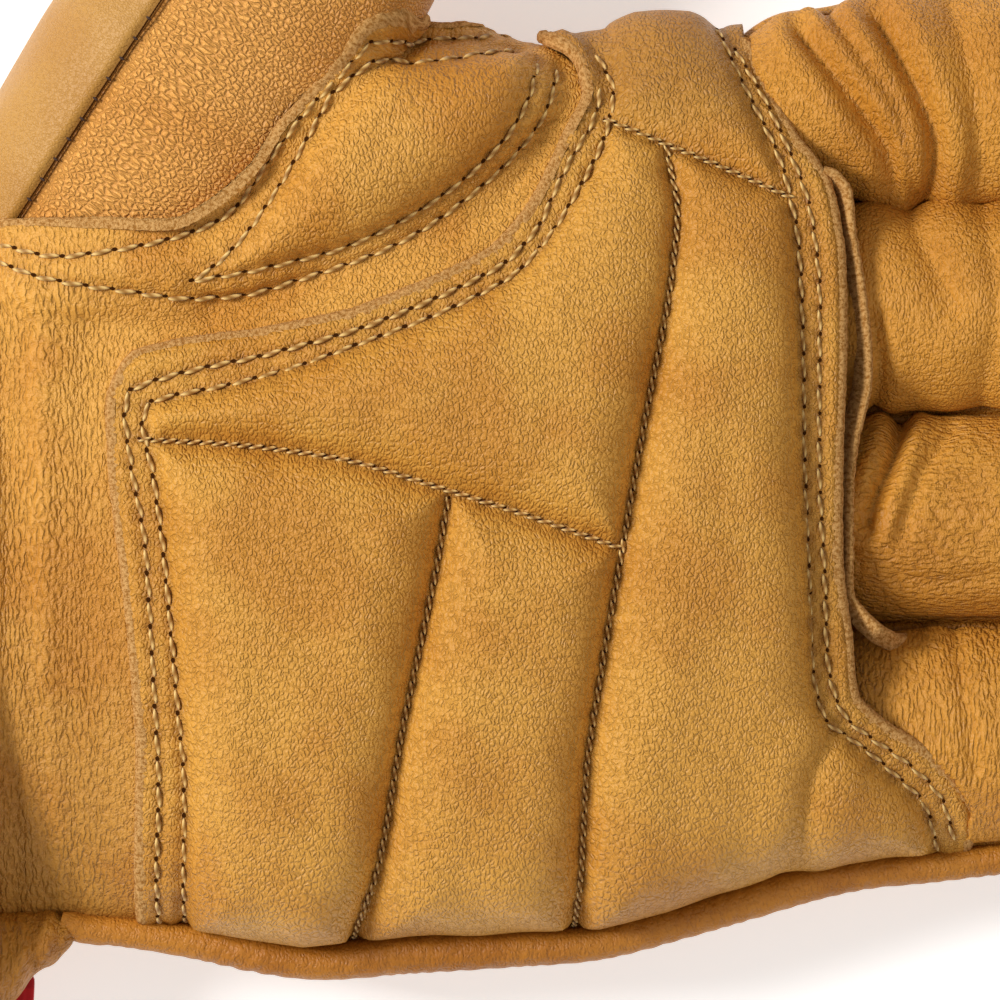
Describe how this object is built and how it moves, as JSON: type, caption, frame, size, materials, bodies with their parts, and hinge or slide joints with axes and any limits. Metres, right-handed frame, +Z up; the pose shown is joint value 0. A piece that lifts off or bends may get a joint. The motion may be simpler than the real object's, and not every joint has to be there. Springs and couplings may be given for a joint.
{
  "type": "winter work glove",
  "caption": "Left-hand leather winter work glove with a quilted padded palm patch, stitched thumb and fingers, rolled side welt and gauntlet cuff, lying palm up.",
  "frame": {"origin": "under the middle of the glove's box, on the surface it lies on", "axes": "+X from the cuff to the fingertips, +Y to the thumb side, +Z up out of the palm"},
  "size_m": [0.2554, 0.1922, 0.0476],
  "materials": {
    "palm_leather": "golden-tan grained goatskin, satin",
    "patch_leather": "smooth golden-tan grained goatskin over foam, satin",
    "finger_leather": "golden-tan grained goatskin, satin, creased",
    "back_leather": "golden-tan grained goatskin, satin",
    "gusset_leather": "golden-tan grained goatskin, satin",
    "pebbled_leather": "coarsely pebbled tan leather, dull",
    "thumb_leather": "very fine-grained golden-tan leather, satin",
    "cuff_leather": "golden-tan grained goatskin, satin",
    "binding_leather": "golden-tan leather binding, satin",
    "welt_leather": "rolled golden-tan leather, satin",
    "raw_edge": "raw cut leather edge, fuzzy and matt",
    "thread": "thick waxed sewing thread, satin",
    "webbing": "woven grey-brown tape, matt",
    "red_tape": "plain red woven tape, matt"
  },
  "bodies": {
    "root": {"palm_panel": "palm_leather", "back_panel": "back_leather", "cuff_palm_side": "cuff_leather", "cuff_back_side": "cuff_leather", "cuff_binding": "binding_leather", "thumb_front": "pebbled_leather", "thumb_back": "thumb_leather", "side_welt": "welt_leather", "palm_patch": "patch_leather", "finger_base_strip": "raw_edge", "red_tab": "red_tape", "side_tape": "webbing", "index_front": "finger_leather", "index_back": "back_leather", "index_gusset": "gusset_leather", "middle_front": "finger_leather", "middle_back": "back_leather", "middle_gusset": "gusset_leather", "ring_front": "finger_leather", "ring_back": "back_leather", "ring_gusset": "gusset_leather", "little_front": "finger_leather", "little_back": "back_leather", "little_gusset": "gusset_leather"}
  },
  "joints": []
}
